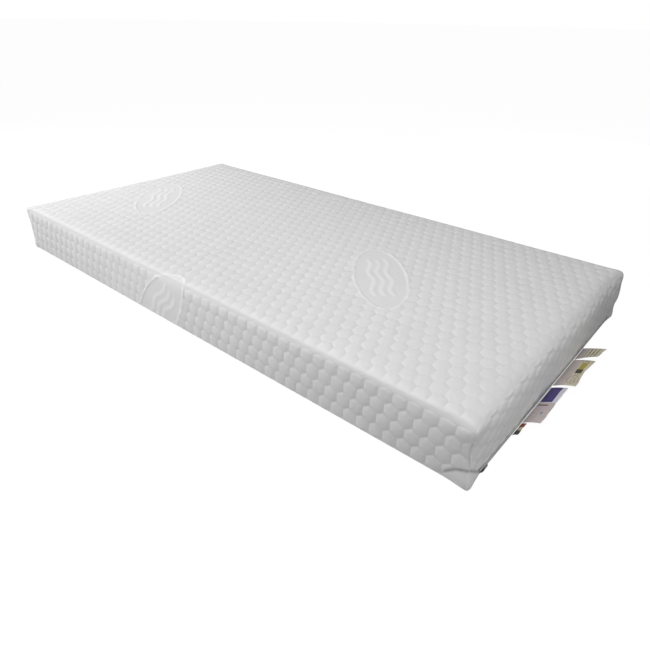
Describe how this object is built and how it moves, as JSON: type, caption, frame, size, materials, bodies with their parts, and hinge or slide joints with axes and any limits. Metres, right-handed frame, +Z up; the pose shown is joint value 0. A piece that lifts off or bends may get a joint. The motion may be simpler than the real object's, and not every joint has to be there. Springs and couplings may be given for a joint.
{
  "type": "pressure relief mattress",
  "caption": "Rectangular foam mattress for a hospital or care bed, in a white padded knit cover with a zip and sewn labels at the foot end.",
  "frame": {"origin": "centre of the flat underside, on the plane that the mattress rests on", "axes": "+X along the length towards the foot end with the zip and labels, +Y across the width, +Z up out of the lying surface"},
  "size_m": [2.063, 1, 0.17],
  "materials": {
    "knit": "white double-jacquard stretch knit with a raised hexagon pattern",
    "wadding": "white polyester fibre wadding",
    "base": "light grey plain woven base cloth",
    "binding": "white seam binding tape",
    "seam": "white overlocked seam ridge",
    "lip": "rolled hem of the white knit",
    "zip_tape": "woven polyester zip tape",
    "zip_chain": "moulded polyester zip teeth",
    "zip_metal": "nickel-plated zip metal",
    "label_cream": "cream woven satin label",
    "label_beige": "beige printed satin label",
    "label_blue": "dark blue and beige woven label",
    "label_red": "small striped woven tab",
    "thread": "white polyester sewing thread",
    "sleeve": "thin white cotton stockinette",
    "memory_foam": "pale yellow open-cell viscoelastic foam",
    "support_foam": "pale blue high-resilience foam",
    "rail_foam": "grey-blue firm edge foam"
  },
  "bodies": {
    "mattress": {"cover_knit_face": "knit", "cover_fibre_wadding": "wadding", "cover_base_panel": "base", "base_seam_binding": "binding", "corner_seam_head_left": "seam", "corner_seam_head_right": "seam", "corner_seam_foot_left": "seam", "corner_seam_foot_right": "seam", "zip_guard_lip": "lip", "zip_tape_upper": "zip_tape", "zip_tape_lower": "zip_tape", "zip_chain_upper": "zip_chain", "zip_chain_lower": "zip_chain", "zip_top_stop_upper": "zip_metal", "zip_top_stop_lower": "zip_metal", "zip_bottom_stop": "zip_metal", "bar_tack_care_near": "thread", "bar_tack_care_far": "thread", "bar_tack_size_near": "thread", "bar_tack_size_far": "thread", "bar_tack_maker_near": "thread", "bar_tack_maker_far": "thread", "bar_tack_origin_tab_near": "thread", "bar_tack_origin_tab_far": "thread", "core_sleeve": "sleeve", "foam_memory_layer": "memory_foam", "foam_support_core": "support_foam", "foam_side_rail_left": "rail_foam", "foam_side_rail_right": "rail_foam"},
    "slider": {"zip_slider": "zip_metal"},
    "pull_tab": {"zip_pull_tab": "zip_metal"},
    "care_flap": {"label_care": "label_cream"},
    "size_flap": {"label_size": "label_beige"},
    "maker_flap": {"label_maker": "label_blue"},
    "origin_flap": {"label_origin_tab": "label_red"}
  },
  "joints": [
    {"name": "zip_slide", "type": "slide", "parent": "mattress", "child": "slider", "axis": [0, 1, 0], "range_m": [0, 0.864]},
    {"name": "pull_tab_hinge", "type": "hinge", "parent": "slider", "child": "pull_tab", "pos_m": [1.002, -0.432, 0.0085], "axis": [0, 0, -1], "range_deg": [0, 175]},
    {"name": "care_label_flap", "type": "hinge", "parent": "mattress", "child": "care_flap", "pos_m": [1.0036, 0.168, 0.015], "axis": [0, -1, 0], "range_deg": [-18, 40], "stiffness_Nm_per_rad": 0.002},
    {"name": "size_label_flap", "type": "hinge", "parent": "mattress", "child": "size_flap", "pos_m": [1.0036, 0.0455, 0.015], "axis": [0, -1, 0], "range_deg": [-18, 40], "stiffness_Nm_per_rad": 0.002},
    {"name": "maker_label_flap", "type": "hinge", "parent": "mattress", "child": "maker_flap", "pos_m": [1.0036, -0.1395, 0.015], "axis": [0, -1, 0], "range_deg": [-18, 40], "stiffness_Nm_per_rad": 0.002},
    {"name": "origin_label_flap", "type": "hinge", "parent": "mattress", "child": "origin_flap", "pos_m": [1.0036, -0.2625, 0.015], "axis": [0, -1, 0], "range_deg": [-18, 40], "stiffness_Nm_per_rad": 0.002}
  ]
}
